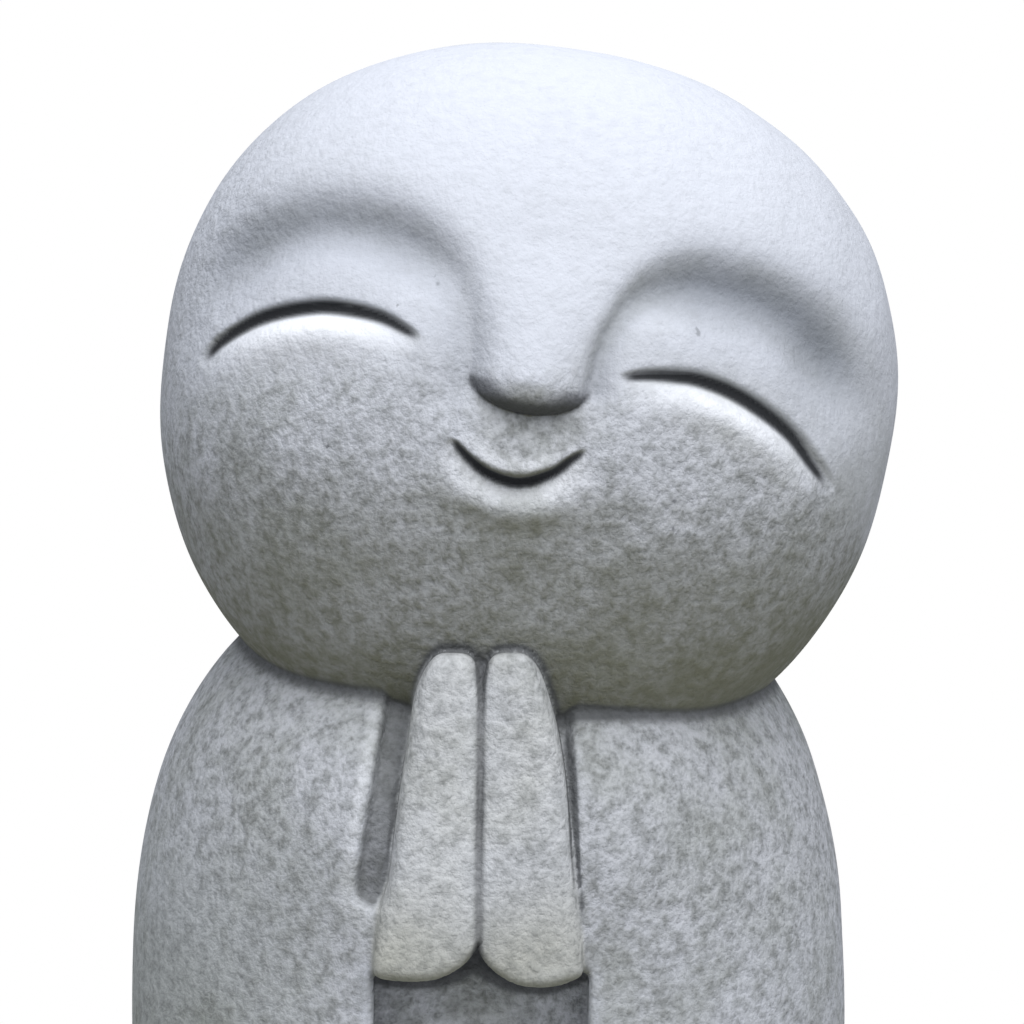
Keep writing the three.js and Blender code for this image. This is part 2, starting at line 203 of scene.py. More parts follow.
@dataclass(frozen=True)
class Slit:
    """A carved line of the face: an eye or the mouth, cut in under a lid with a rounded rim below."""

    points: tuple[tuple[float, float], ...]
    depth: float = 4.3
    width: float = 4.5
    rim: float = 3.6
    swell: float = 2.2
    lip: float = 0.0

    def section(self, u: Array, v: Array) -> tuple[Array, Array, Array, Array]:
        """The slit's cross section at each place.

        The points run from the viewer's left to right, so the line's left side is above it. A steep
        wall above; then the floor, most of the slit's width; then a rise that eases out, e to the
        minus the gap over the rim to the power 1.2. The width falls to nothing at both ends as the
        0.4th power of a sine.

        Args:
            u: Places across the face.
            v: Places up the face.

        Returns:
            Height above the slit's upper edge, height below its floor, fade towards the ends, and
            share of the full depth.
        """
        above, along = self.line.near(u, v)
        fade = np.sin(np.pi * np.clip(along, 0.002, 0.998)) ** 0.4
        past = np.where((along < 0.001) | (along > 0.999), np.abs(above), 0.0)
        half = 0.5 * self.width * fade
        below = np.maximum(-0.45 * half - above, 0.0)
        wall = 1.0 - step(-1.2, 0.8, above - half)
        hollow = wall * np.exp(-((below / self.rim) ** 1.2)) * bell(past / 1.5)
        return above - half, below, fade * bell(past / 5.0), hollow

    def relief(self, u: Array, v: Array) -> Array:
        """How far the slit moves the surface: the hollow, a rim that stands proud below, a lid set back.

        Args:
            u: Places across the face.
            v: Places up the face.

        Returns:
            Movement along the ray from the head's centre, negative inwards.
        """
        move = np.zeros_like(u)
        path = self.line.path
        box = (u > path[:, 0].min() - 16) & (u < path[:, 0].max() + 16)
        box &= (v > path[:, 1].min() - 16) & (v < path[:, 1].max() + 16)
        if not box.any():
            return move
        edge, below, fade, hollow = self.section(u[box], v[box])
        proud = self.swell * bell((below - 6.0) / 5.0) * (below > 0.0) + self.lip * bell((edge - 2.4) / 2.0)
        lid = 1.2 * bell(np.maximum(edge, 0.0) / 7.0) * step(-1.2, 0.8, edge) * (self.lip == 0.0)
        proud = np.where(below > 0.0, proud - self.swell * bell(6.0 / 5.0), proud)
        move[box] = (proud - lid) * fade**4 - self.depth * fade**1.5 * hollow
        return move

    def dark(self, u: Array, v: Array) -> Array:
        """How black each place is painted as shadow, from 0 to 1: the floor and the foot of the wall."""
        edge, below, fade, _ = self.section(u, v)
        return (1.0 - step(-1.5, 0.3, edge)) * (1.0 - step(0.2, 1.9, below)) * step(0.25, 0.55, fade)

    def rim_highlight(self, u: Array, v: Array) -> Array:
        """How much painted highlight the rims get, from 0 to 1: a band just below the floor, and the lip above."""
        edge, below, fade, _ = self.section(u, v)
        band = step(0.8, 1.9, below) * bell(np.maximum(below - 4.0, 0.0) / 6.5)
        lip = 0.75 * step(-0.2, 0.9, edge) * bell(np.maximum(edge - 1.2, 0.0) / 3.0) * (self.lip > 0.0)
        return fade**2 * np.maximum(band, lip)

    @property
    def line(self) -> CarvedLine:
        """The slit's middle line."""
        return CarvedLine(list(self.points))


@dataclass(frozen=True)
class Brow:
    """A brow groove: a soft fall from the forehead, a quicker rise to the lid, then the nose's side."""

    points: tuple[tuple[float, float], ...]
    side: Side
    at_nose: tuple[float, float]
    start: float
    # how dark the groove's painted shade is
    shade_strength: float
    depth: float = 7.3
    above: float = 8.5
    below: float = 12.0

    def relief(self, u: Array, v: Array) -> Array:
        """How far the groove moves the surface: a bell across the line, wider on the lid's side.

        Down the nose its depth and width go over to their own shares.

        Args:
            u: Places across the face.
            v: Places up the face.

        Returns:
            Movement along the ray from the head's centre, negative inwards.
        """
        gap, along = self.line.near(u, v)
        outer = gap * self.side.value * -1.0 > 0.0
        width = np.where(outer, self.above, self.below)
        down_the_nose = step(0.58, 0.86, along)
        width = width * (1.0 - (1.0 - self.at_nose[1]) * down_the_nose)
        fade = step(self.start, self.start + 0.28, along) * (1.0 - (1.0 - self.at_nose[0]) * down_the_nose)
        return -self.depth * fade * bell(gap / width)

    def shade(self, u: Array, v: Array) -> Array:
        """How much painted shade the groove gets: its share of the depth, times its own strength."""
        return self.shade_strength * -self.relief(u, v) / self.depth

    @property
    def line(self) -> CarvedLine:
        """The groove's deepest line, from the temple to the side of the nose."""
        return CarvedLine(list(self.points), 4)


@dataclass
class Head:
    """The head: an egg with a broad lower half, tilted towards the viewer's right."""

    centre: tuple[float, float, float] = (12.4, -8.0, 348.3)
    tilt: float = math.radians(9.2)
    half_width: float = 109.0
    half_depth: float = 95.0
    above: float = 100.8
    below: float = 112.2
    power: float = 2.18
    nose_height: float = 8.0
    nose_middle: float = -1.2
    nose_half: float = 16.9
    nose_spread: float = 7.7
    nose_ball: float = 5.5
    nose_ridge: float = 39.0
    nose_under: float = 9.4
    cheek_swell: float = 5.5
    muzzle: float = 3.8
    jowl: float = 4.0
    face: float = 20.0
    temple: float = 10.0
    slits: tuple[Slit, ...] = (
        Slit(
            (
                (-93.7, -6.3), (-89.4, 0.4), (-81.4, 7.6), (-73.1, 12.1), (-62.6, 15.5),
                (-53.5, 16.3), (-44.9, 15.8), (-38.9, 14.2), (-32.0, 11.8),
            )
        ),
        Slit(
            (
                (22.6, 10.2), (31.6, 11.9), (39.9, 12.6), (45.6, 12.5), (54.6, 10.6), (63.9, 6.8),
                (73.7, 1.1), (81.0, -5.9), (87.5, -12.0),
            )
        ),
        Slit(
            (
                (-19.8, -13.4), (-14.2, -18.2), (-8.0, -21.6), (0.4, -22.6), (8.4, -19.1),
                (13.2, -14.5), (17.0, -10.8),
            ),
            depth=4.0,
            width=3.6,
            rim=3.0,
            swell=1.5,
            lip=1.2,
        ),
    )
    brows: tuple[Brow, ...] = (
        Brow(
            (
                (-99.0, 8.0), (-89.0, 26.5), (-72.0, 37.5), (-54.7, 40.4), (-40.0, 37.7),
                (-29.0, 31.1), (-22.6, 21.0), (-19.5, 11.0), (-19.0, 2.0),
            ),
            Side.LEFT,
            at_nose=(0.42, 0.7),
            start=-0.1,
            shade_strength=1.2,
        ),
        Brow(
            (
                (99.0, 0.0), (91.0, 14.0), (80.5, 26.0), (69.2, 34.6), (53.1, 38.8), (38.7, 38.9),
                (25.5, 32.4), (19.2, 22.0), (17.0, 12.0), (17.0, 5.0),
            ),
            Side.RIGHT,
            at_nose=(0.42, 0.36),
            start=0.0,
            shade_strength=1.7,
        ),
    )

    def local(self, p: Array) -> tuple[Array, Array, Array]:
        """Turn points into the head's own frame: across, out of the back, and up, from its centre."""
        x, y, z = (p - np.array(self.centre)).T
        c, s = math.cos(self.tilt), math.sin(self.tilt)
        return x * c - z * s, y, x * s + z * c

    def from_slits(self, p: Array) -> Array:
        """Distance from points on the face to the nearest slit, over the face and in mm."""
        u, w, v = self.local(p)
        reach = np.full(len(p), 60.0)
        seen = w < -self.face
        for slit in self.slits:
            reach[seen] = np.minimum(reach[seen], np.abs(slit.line.near(u[seen], v[seen])[0]))
        return reach

    def on_nose(self, u: Array, v: Array) -> tuple[Array, Array, Array]:
        """Shares of the way over the nose: across it, up its ridge, and down under its ball."""
        up = np.clip((v - self.nose_ball) / self.nose_ridge, 0.0, 1.0)
        down = np.clip((self.nose_ball - v) / self.nose_under, 0.0, 1.5)
        return np.abs(u - self.nose_middle) / (self.nose_half + self.nose_spread * up), up, down

    def nose(self, u: Array, v: Array) -> Array:
        """Height of the nose: a soft ridge out of the brow that ends in a round ball.

        One less the squared shares across and down, to the power 0.5 at the underside and 1.2 at
        the sides; upwards the ridge widens, sinks into the brow, and its sides get softer.

        Args:
            u: Places across the face.
            v: Places up the face.

        Returns:
            Height over the face in mm.
        """
        across, up, down = self.on_nose(u, v)
        inside = np.maximum(1.0 - across**2 - down**2, 0.0)
        power = 1.2 - 0.7 * step(0.0, 0.7, down) + 0.3 * np.minimum(4.0 * up, 1.0)
        return self.nose_height * (1.0 - up) ** 1.2 * inside**power

    def cheeks(self, u: Array, v: Array) -> Array:
        """Full cheeks beside the mouth, the low swelling of the lips, and the full underside of the face."""
        u, v = u / self.half_width, v / self.half_width
        swell = bell(np.hypot(u + 0.55, (v + 0.24) * 1.15) / 0.42) + bell(np.hypot(u - 0.53, (v + 0.24) * 1.15) / 0.42)
        lips = bell(np.hypot(u + 0.01, (v + 0.17) * np.where(v > -0.17, 1.6, 0.8)) / 0.17)
        return self.cheek_swell * swell + self.muzzle * lips + self.jowl * bell((v + 0.8) / 0.27)

    def most(self, p: Array, front: float, masks: list[Mask]) -> Array:
        """The most that any of the masks gives at each place of the face, and 0 behind the front."""
        u, w, v = self.local(p)
        share = np.zeros(len(p))
        seen = w < -front
        for mask in masks:
            share[seen] = np.maximum(share[seen], mask(u[seen], v[seen]))
        return share

    def deep_shadow(self, p: Array) -> Array:
        """How black each place is painted as shadow: 1 on the floors of the slits, less under the nose."""
        u, w, v = self.local(p)
        share = self.most(p, self.face, [slit.dark for slit in self.slits])
        across, _, down = self.on_nose(u, v)
        round_ball = np.hypot(across, down)
        under = step(0.38, 0.8, round_ball) * (1.0 - step(1.0, 1.1, round_ball)) * step(0.0, 0.3, down)
        return np.maximum(share, np.where(w < -self.face, 0.8 * under, 0.0))

    def rim_highlight(self, p: Array) -> Array:
        """How much painted highlight the rims of the slits get, from 0 to 1."""
        return self.most(p, self.face, [slit.rim_highlight for slit in self.slits])

    def dressed(self, p: Array) -> Array:
        """How smooth the stone is dressed, from 0 to 1: all above an arch through both eyes.

        The arch is 15 mm up in the middle and falls as the fourth power of the place across. The
        temple on the viewer's left stays rougher.
        """
        u, _, v = self.local(p)
        left = 1.0 - 0.8 * step(-68.0, -104.0, u)
        return left * step(-22.0, 3.0, v - 15.0 + 22.0 * (u / 92.0) ** 4) * (np.hypot(u, v) < 130.0)

    def shaded(self, p: Array) -> Array:
        """How much painted shade the brow grooves get, from 0 to 1."""
        share = self.most(p, self.temple, [brow.shade for brow in self.brows])
        return share * step(-self.temple, -50.0, self.local(p)[1])

    def relief(self, u: Array, v: Array) -> Array:
        """All the carving of the face, as movement along the ray from the head's centre."""
        soft = sum((brow.relief(u, v) for brow in self.brows), self.cheeks(u, v))
        cut = sum((slit.relief(u, v) for slit in self.slits), np.zeros_like(u))
        return soft + self.nose(u, v) + cut

    def distance(self, p: Array) -> Array:
        """Distance to the head: the place's distance from the centre less the reach of the egg.

        The reach in a direction is the superellipsoid's, plus the relief at the place on the bare
        egg, faded out behind the temples.

        Args:
            p: Points in mm.

        Returns:
            Signed distances in mm.
        """
        u, w, v = self.local(p)
        size = np.maximum(np.sqrt(u * u + v * v + w * w), TINY)
        du, dw, dv = u / size, w / size, v / size
        reach = np.where(dv > 0.0, self.above, self.below)
        bare = (
            np.abs(du / self.half_width) ** self.power
            + np.abs(dw / self.half_depth) ** self.power
            + np.abs(dv / reach) ** self.power
        ) ** (-1.0 / self.power)
        facing = step(0.1, 0.55, -dw)
        carved = np.zeros_like(bare)
        seen = (facing > 0.0) & (size > 0.6 * bare)
        carved[seen] = facing[seen] * self.relief((du * bare)[seen], (dv * bare)[seen])
        return size - bare - carved


@dataclass
class Robes:
    """The outer robe with its hanging sleeves, the inner robe between and below them, and the base."""

    sleeves_half: float = 107.5
    sleeves_front: float = 93.0
    sleeves_back: float = 90.0
    hem: float = 62.0
    shoulder_start: float = 159.3
    shoulder_rise: float = 143.0
    shoulder_power: float = 2.5
    hem_taper: float = 0.955
    oval_power: float = 2.2
    robe_half: float = 100.0
    robe_front: float = 78.0
    robe_back: float = 84.0
    robe_flare: float = 0.05
    robe_foot: float = 11.0
    robe_top: float = 208.0
    base_half: float = 112.0
    base_depth: float = 98.0
    base_height: float = 22.0
    base_round: float = 9.0
    opening_half: float = 30.0
    opening_middle: float = -1.6
    opening_corner: float = 30.0
    opening_top: float = 186.0
    opening_peak: float = 16.0
    opening_peak_width: float = 13.0
    opening_floor: float = 20.0
    forearm_swell: float = 8.5
    forearm_height: float = 232.0
    forearm_out: float = 31.0
    chest_back: float = 5.0
    left_drop: float = 3.0

    def share(self, z: Array) -> Array:
        """Share of the full width at a height: a taper to the hem and superelliptic shoulders."""
        over = np.clip((z - self.shoulder_start) / self.shoulder_rise, 0.0, 1.0)
        under = np.clip((self.shoulder_start - z) / (self.shoulder_start - self.hem), 0.0, 1.0)
        dome = (1.0 - over**self.shoulder_power) ** (1.0 / self.shoulder_power)
        return dome * (1.0 - (1.0 - self.hem_taper) * under**2)

    def sleeves(self, p: Array) -> Array:
        """Distance to the outer robe: an oval barrel, cut off at the hem and opened at the front."""
        x, y, z = p.T
        front = self.sleeves_front - self.chest_back * step(238.0, 280.0, z)
        reach = oval(x, y, self.sleeves_half, front, self.sleeves_back, self.oval_power)
        dropped = z + self.left_drop * step(22.0, -65.0, x) * step(231.0, 288.0, z)
        barrel = np.hypot(x, y) - reach * self.share(dropped) - self.forearms(x, y, z)
        return smooth_max(smooth_max(barrel, self.hem - z, 6.0), -self.opening(x, y, z), 2.6)

    def forearms(self, x: Array, y: Array, z: Array) -> Array:
        """Height of the soft swelling of each sleeve over a forearm: bells beside the hands."""
        side = np.abs(x - self.opening_middle) - self.forearm_out
        across = bell(np.where(side > 0.0, side / 30.0, side / 14.0))
        return self.forearm_swell * across * bell((z - self.forearm_height) / 34.0) * step(20.0, 50.0, -y)

    def opening(self, x: Array, y: Array, z: Array) -> Array:
        """Distance to the gap between the sleeves: straight sides that curve away, and a top that peaks."""
        spread = self.opening_corner * (1.0 - np.clip((z - self.hem + 4.0) / 34.0, 0.0, 1.0)) ** 2.2
        side = np.abs(x - self.opening_middle) - self.opening_half - spread
        peak = self.opening_peak * bell((x - self.opening_middle) / self.opening_peak_width)
        top = self.opening_top + peak
        return smooth_max(smooth_max(side, z - top, 3.0), y + self.opening_floor, 4.0)

    def inner(self, p: Array) -> Array:
        """Distance to the inner robe: an oval column that flares a little at the foot."""
        x, y, z = p.T
        reach = oval(x, y, self.robe_half, self.robe_front, self.robe_back, self.oval_power)
        foot = np.clip(1.0 - (z - self.robe_foot) / (self.hem + 4.0 - self.robe_foot), 0.0, 1.0)
        column = np.hypot(x, y) - reach * (1.0 + self.robe_flare * foot**2)
        return np.maximum(column, z - self.robe_top)

    def base(self, p: Array) -> Array:
        """Distance to the base: an oval slab with a round top edge and a small arris below."""
        x, y, z = p.T
        reach = oval(x, y, self.base_half, self.base_depth, self.base_depth, self.oval_power)
        side = np.hypot(x, y) - reach + 0.8 * np.maximum(1.5 - z, 0.0)
        return smooth_max(side, z - self.base_height, self.base_round)


@dataclass(frozen=True)
class Cuff:
    """The groove between a hand and its sleeve.

    Its width at the top in mm, the share of the width that is lost by the heel, the share of the
    hand's length where it ends, and the share of the width that is flat floor.
    """

    side: Side
    width: float
    taper: float
    end: float
    floor: float


@dataclass
class Hands:
    """Two mitts pressed side by side, leaning on the chin, and the grooves beside them."""

    tip: float = 277.3
    length: float = 93.0
    tip_width: float = 20.0
    heel_width: float = 31.0
    tip_front: float = 95.5
    heel_front: float = 100.0
    back: float = 55.0
    middle: float = -1.2
    lean: float = -1.2
    overlap: float = 1.2
    outer_tip_power: float = 2.6
    inner_tip_power: float = 4.5
    heel_power: float = 10.0
    heel_round: tuple[float, float] = (20.0, 15.0)
    softness: float = 7.0
    right_longer: float = 1.5
    left_narrower: float = 1.8
    left_lift: float = 1.5
    right_lift: float = 4.0
    cuff_depth: float = 4.5
    left_cuff: Cuff = Cuff(Side.LEFT, 5.4, -0.55, 0.7, 0.6)
    right_cuff: Cuff = Cuff(Side.RIGHT, 5.6, 1.2, 0.8, 0.15)

    def hand(self, p: Array, side: Side) -> Array:
        """Distance to one mitt: a slab with a soft front edge, leaning on the chin.

        Across and up, each from -1 to 1 in a block that widens towards the heel, make a superellipse;
        one less than its size, over its slope, is the distance to the outline. The heel's inner
        corner is a quarter of an ellipse, and its edge rises a little towards the outer side. The
        front comes forward towards the heel, and meets the outline in a wide fillet, softer on the
        outer side. The viewer's left hand is a little narrower beside its groove.

        Args:
            p: Points in mm.
            side: Which hand.

        Returns:
            Signed distances in mm.
        """
        x, y, z = p.T
        length = self.length + self.right_longer * (side is Side.RIGHT)
        down = np.clip((self.tip - z) / length, -0.1, 1.1)
        beside_groove = step(0.1, 0.3, down) * (1.0 - step(0.68, 0.8, down))
        narrow = self.left_narrower * (side is Side.LEFT) * beside_groove
        half = 0.5 * (self.tip_width + (self.heel_width - self.tip_width) * down - narrow + self.overlap)
        across = (x - self.middle - self.lean * down - side.value * (half - self.overlap)) / half
        up = 1.0 - 2.0 * (self.tip - z) / length
        outer = across * side.value > 0.0
        tip = np.where(outer, self.outer_tip_power, self.inner_tip_power)
        power = np.where(up > 0.0, tip, self.heel_power)
        a, b = np.maximum(np.abs(across), 1e-6), np.maximum(np.abs(up), 1e-6)
        size = (a**power + b**power) ** (1.0 / power)
        slope = np.hypot((a / size) ** (power - 1.0) / half, (b / size) ** (power - 1.0) / (length / 2))
        wide, tall = self.heel_round
        inner = (1.0 + across * side.value) * half
        most = self.right_lift if side is Side.RIGHT else self.left_lift
        lift = most * (np.maximum(inner - wide, 0.0) / 12.0) ** 1.5
        below = np.maximum((self.tip - length + tall + lift - z) / tall, 0.0)
        heel = (np.hypot(np.maximum(1.0 - inner / wide, 0.0), below) - 1.0) * tall
        outline = smooth_max((size - 1.0) / slope, heel, 1.5)
        front = -y - self.tip_front - (self.heel_front - self.tip_front) * down
        soft = (self.softness + 2.0 * np.clip(across * side.value, -1.0, 1.0)) * (1.0 - 0.5 * step(0.8, 1.0, down))
        return np.maximum(smooth_max(outline, front, soft), y + self.back)

    def distance(self, p: Array) -> Array:
        """Distance to both mitts, with a narrow groove between them."""
        return smooth_min(self.hand(p, Side.LEFT), self.hand(p, Side.RIGHT), 0.9)

    def between(self, p: Array) -> Array:
        """How much painted shadow the groove between the hands gets: a bell over the difference of their distances."""
        left, right = self.hand(p, Side.LEFT), self.hand(p, Side.RIGHT)
        return 0.5 * bell((left - right) / 1.1) * (1.0 - step(0.8, 2.5, np.minimum(left, right)))

    def touched(self, p: Array) -> Array:
        """How much of the hands' pale colour each place has, from 0 to 1."""
        return 1.0 - step(-1.2, 1.0, self.distance(p))

    def cuff(self, p: Array, cuff: Cuff) -> Array:
        """Depth of the groove between a hand and its sleeve.

        A channel that is deepest along the hand's edge and eases up to the sleeve's edge over the
        rest of the groove's width, and rounds out at its end.

        Args:
            p: Points in mm.
            cuff: Which groove.

        Returns:
            Depths in mm, zero away from the groove.
        """
        out, gap, wide = self.from_cuff(p, cuff)
        depth = np.minimum(self.cuff_depth, wide)
        return depth * (1.0 - step(cuff.floor, 1.15, gap)) * step(-9.0, -5.0, out) * step(20.0, 40.0, -p[:, 1])

    def from_cuff(self, p: Array, cuff: Cuff) -> tuple[Array, Array, Array]:
        """How far out of a hand's edge each place is, in mm and in widths of the groove, and that width."""
        x, _, z = p.T
        down = (self.tip - z) / self.length
        share = np.clip(down, 0.0, 1.0)
        edge = self.tip_width + (self.heel_width - self.tip_width) * share
        out = (x - self.middle - self.lean * share) * cuff.side.value - edge
        past = np.maximum(down - cuff.end, 0.0) * self.length
        wide = cuff.width * np.maximum(1.0 - cuff.taper * share, 0.03)
        return out, np.hypot(np.maximum(out, 0.0), past) / wide, wide


@dataclass
class Statue:
    """The whole figure, its skin mesh and its stone."""

    head: Head = field(default_factory=Head)
    robes: Robes = field(default_factory=Robes)
    hands: Hands = field(default_factory=Hands)
    neck_fillet: float = 1.4
    columns: int = 150
    body_rows: int = 92
    crown_rows: int = 30
    sag: float = 0.03
    shortest: float = 0.4
    passes: int = 5
    quick_passes: int = 2
    most_faces: int = 188_000
    mends: int = 6
    least_facing: float = 0.25
    nudge: float = 0.05
    far_out: float = 150.0
    halvings: int = 12
    crown: float = 101.0
    recess_top: float = 202.0
    recess_front: float = 88.0

    def body(self, p: Array) -> Array:
        """Distance to the robes and the base, with the cuff grooves cut."""
        left, right = (self.hands.cuff(p, cuff) for cuff in (self.hands.left_cuff, self.hands.right_cuff))
        robe = smooth_min(self.robes.sleeves(p) + left + right, self.robes.inner(p), 2.2)
        return smooth_min(robe, self.robes.base(p), 3.0)

    def distance(self, p: Array) -> Array:
        """Distance to the statue: its forms joined by fillets, worn back by soft handmade waves.

        The waves are three sines of skewed places, 40 to 70 mm long, and only ever take stone off.

        Args:
            p: Points in mm.

        Returns:
            Signed distances in mm, negative inside.
        """
        x, y, z = p.T
        joined = smooth_min(self.head.distance(p), self.body(p), self.neck_fillet)
        joined = smooth_min(joined, self.hands.distance(p), 1.2)
        waves = (
            np.sin(0.11 * x + 0.05 * z + 1.3) * np.sin(0.09 * y - 0.08 * z + 0.4)
            + np.sin(0.13 * z - 0.07 * x + 2.1) * np.sin(0.12 * y + 0.06 * x)
            + np.sin(0.15 * x + 0.1 * y - 0.14 * z)
        )
        return joined + 0.1 * (waves + 3.0)

    def slope(self, p: Array, value: Array) -> Array:
        """Gradient of the distance by short forward differences."""
        return np.stack([(self.distance(p + self.nudge * axis) - value) / self.nudge for axis in np.eye(3)], 1)

    def settle(self, p: Array, rounds: int = 4) -> tuple[Array, Array]:
        """Move points onto the surface by Newton steps along the gradient, each at most 3 mm.

        Args:
            p: Points near the surface.
            rounds: Number of steps.

        Returns:
            The moved points and their outward normals.
        """
        p = p.copy()
        for _ in range(rounds):
            value = self.distance(p)
            g = self.slope(p, value)
            size2 = np.maximum((g * g).sum(1), 0.25)
            move = -(value / size2)[:, None] * g
            far = np.linalg.norm(move, axis=1)
            p += move * np.minimum(1.0, 3.0 / np.maximum(far, TINY))[:, None]
        g = self.slope(p, self.distance(p))
        return p, g / np.maximum(np.linalg.norm(g, axis=1), TINY)[:, None]

    def first_grid(self) -> tuple[Array, Array]:
        """A closed grid over the statue, from the middle of the underside to the crown.

        Columns turn about the figure and crowd towards its front. Rows rise up the axis with level
        rays, then swing up from the head's centre. Along each ray, halvings of the span between
        inside and outside find the surface.

        Returns:
            Points in mm and triangles.
        """
        turn = np.linspace(-1.0, 1.0, self.columns, endpoint=False)
        theta = np.pi * (0.6 * turn + 0.4 * turn**3)
        centre = np.array(self.head.centre)
        height = np.concatenate([[0.0, 0.8], np.linspace(1.6, centre[2], self.body_rows)])
        lift = np.linspace(0.0, np.pi / 2, self.crown_rows + 1)[1:-1]
        rise = np.concatenate([np.zeros(len(height)), lift])
        foot = np.concatenate([height, np.full(len(lift), centre[2])])
        lean = step(200.0, centre[2], foot)[:, None, None] * np.array([centre[0], centre[1], 0.0])
        start = lean + foot[:, None, None] * np.array([0.0, 0.0, 1.0])
        way = np.stack(
            np.broadcast_arrays(
                np.cos(rise)[:, None] * np.sin(theta),
                -np.cos(rise)[:, None] * np.cos(theta),
                np.sin(rise)[:, None],
            ),
            2,
        )
        start = np.broadcast_to(start, way.shape).reshape(-1, 3)
        way = way.reshape(-1, 3)
        inside, outside = np.zeros(len(way)), np.full(len(way), self.far_out)
        for _ in range(self.halvings):
            middle = (inside + outside) / 2
            out = self.distance(start + way * middle[:, None]) > 0.0
            inside, outside = np.where(out, inside, middle), np.where(out, middle, outside)
        points = start + way * ((inside + outside) / 2)[:, None]
        count = len(rise)
        ring = np.arange(self.columns)
        following = (ring + 1) % self.columns
        first = np.arange(count - 1)[:, None] * self.columns
        low, low_next = (first + ring).reshape(-1), (first + following).reshape(-1)
        high, high_next = low + self.columns, low_next + self.columns
        bottom, top = len(points), len(points) + 1
        last = (count - 1) * self.columns
        faces = np.concatenate(
            [
                np.stack([low, low_next, high_next], 1),
                np.stack([low, high_next, high], 1),
                np.stack([np.full(self.columns, bottom), following, ring], 1),
                np.stack([last + ring, last + following, np.full(self.columns, top)], 1),
            ]
        )
        crown = centre + np.array([0.0, 0.0, self.crown])
        return np.vstack([points, [[0.0, 0.0, 0.0]], crown[None]]), faces

    def longest(self, p: Array) -> Array:
        """Longest edge allowed at a place: finer towards the front, and finest along the slits."""
        usual = 6.0 - 3.2 * step(30.0, -40.0, p[:, 1])
        return np.minimum(usual, 0.45 + 0.26 * np.maximum(self.head.from_slits(p) - 2.6, 0.0))

    def split(self, points: Array, normals: Array, faces: Array) -> tuple[Array, Array, Array]:
        """Split the edges that are too long, or that bend too much for their length.

        An edge is marked when it is longer than the place allows, or when its length times its
        turn over eight, the gap to the true surface, is more than the sag. The neediest edges come
        first where there is no room for all. A face with one marked edge becomes two, with two it
        becomes three, and with three it becomes four.

        Args:
            points: Points in mm.
            normals: Their outward normals.
            faces: Triangles.

        Returns:
            The new points, normals and triangles.
        """
        keys = np.sort(sides_of(faces), 1)
        edges, index = np.unique(keys[:, 0] * np.int64(len(points)) + keys[:, 1], return_inverse=True)
        a, b = edges // len(points), edges % len(points)
        index = index.reshape(-1, 3)
        run = np.linalg.norm(points[a] - points[b], axis=1)
        turn = np.linalg.norm(normals[a] - normals[b], axis=1)
        need = run / self.longest((points[a] + points[b]) / 2)
        need = np.maximum(need, np.where(run > self.shortest, np.sqrt(run * turn / 8 / self.sag), 0.0))
        fixed = (points[a, 2] < GROUND) & (points[b, 2] < GROUND)
        need[fixed] = 0.0
        room = max(int((self.most_faces - len(faces)) / 2.6), 1)
        least = max(1.0, float(np.partition(need, -room)[-room])) if room < len(need) else 1.0
        marked = need > least
        reach = run[index]
        longest = index[np.arange(len(index)), reach.argmax(1)]
        for _ in range(2):
            marked[longest[marked[index].any(1)]] = True
            marked &= ~fixed
        middle = np.full(len(edges), -1)
        middle[marked] = len(points) + np.arange(marked.sum())
        new, new_normals = self.settle((points[a[marked]] + points[b[marked]]) / 2)
        m = middle[index]
        count = (m >= 0).sum(1)
        turned = np.where(count == 1, (m >= 0).argmax(1), np.where(count == 2, ((m < 0).argmax(1) + 1) % 3, 0))
        order = (turned[:, None] + np.arange(3)) % 3
        rows = np.arange(len(faces))[:, None]
        v, m = faces[rows, order], m[rows, order]
        v0, v1, v2, m0, m1, m2 = (*v.T, *m.T)
        one, two, three = count == 1, count == 2, count == 3
        parts = [
            (count == 0, (v0, v1, v2)),
            (one, (v0, m0, v2)),
            (one, (m0, v1, v2)),
            (two, (m0, v1, m1)),
            (two, (v0, m0, m1)),
            (two, (v0, m1, v2)),
            (three, (v0, m0, m2)),
            (three, (m0, v1, m1)),
            (three, (m2, m1, v2)),
            (three, (m0, m1, m2)),
        ]
        made = np.concatenate([np.stack([corner[which] for corner in corners], 1) for which, corners in parts])
        return np.vstack([points, new]), np.vstack([normals, new_normals]), made

    def relax(self, points: Array, faces: Array) -> Array:
        """Even out the mesh: move each point half way to its neighbours' mean, then back to the surface."""
        fixed = points[:, 2] < GROUND
        moved = np.where(fixed[:, None], points, points + 0.5 * (around(points, faces) - points))
        settled, _ = self.settle(moved, 2)
        return np.where(fixed[:, None], points, settled)

    def untangle(self, points: Array, normals: Array, faces: Array) -> Array:
        """Smooth out the few faces that lie the wrong way round: their corners go to their neighbours' mean.

        Args:
            points: Points in mm.
            normals: Their outward normals.
            faces: Triangles.

        Returns:
            The mended points.
        """
        for _ in range(self.mends):
            corners = points[faces]
            facing = np.cross(corners[:, 1] - corners[:, 0], corners[:, 2] - corners[:, 0])
            facing /= np.maximum(np.linalg.norm(facing, axis=1), TINY)[:, None]
            wrong = (facing * normals[faces].mean(1)).sum(1) < self.least_facing
            moved = np.zeros(len(points), dtype=bool)
            moved[faces[wrong]] = True
            moved &= points[:, 2] > GROUND
            points = np.where(moved[:, None], around(points, faces), points)
        return points

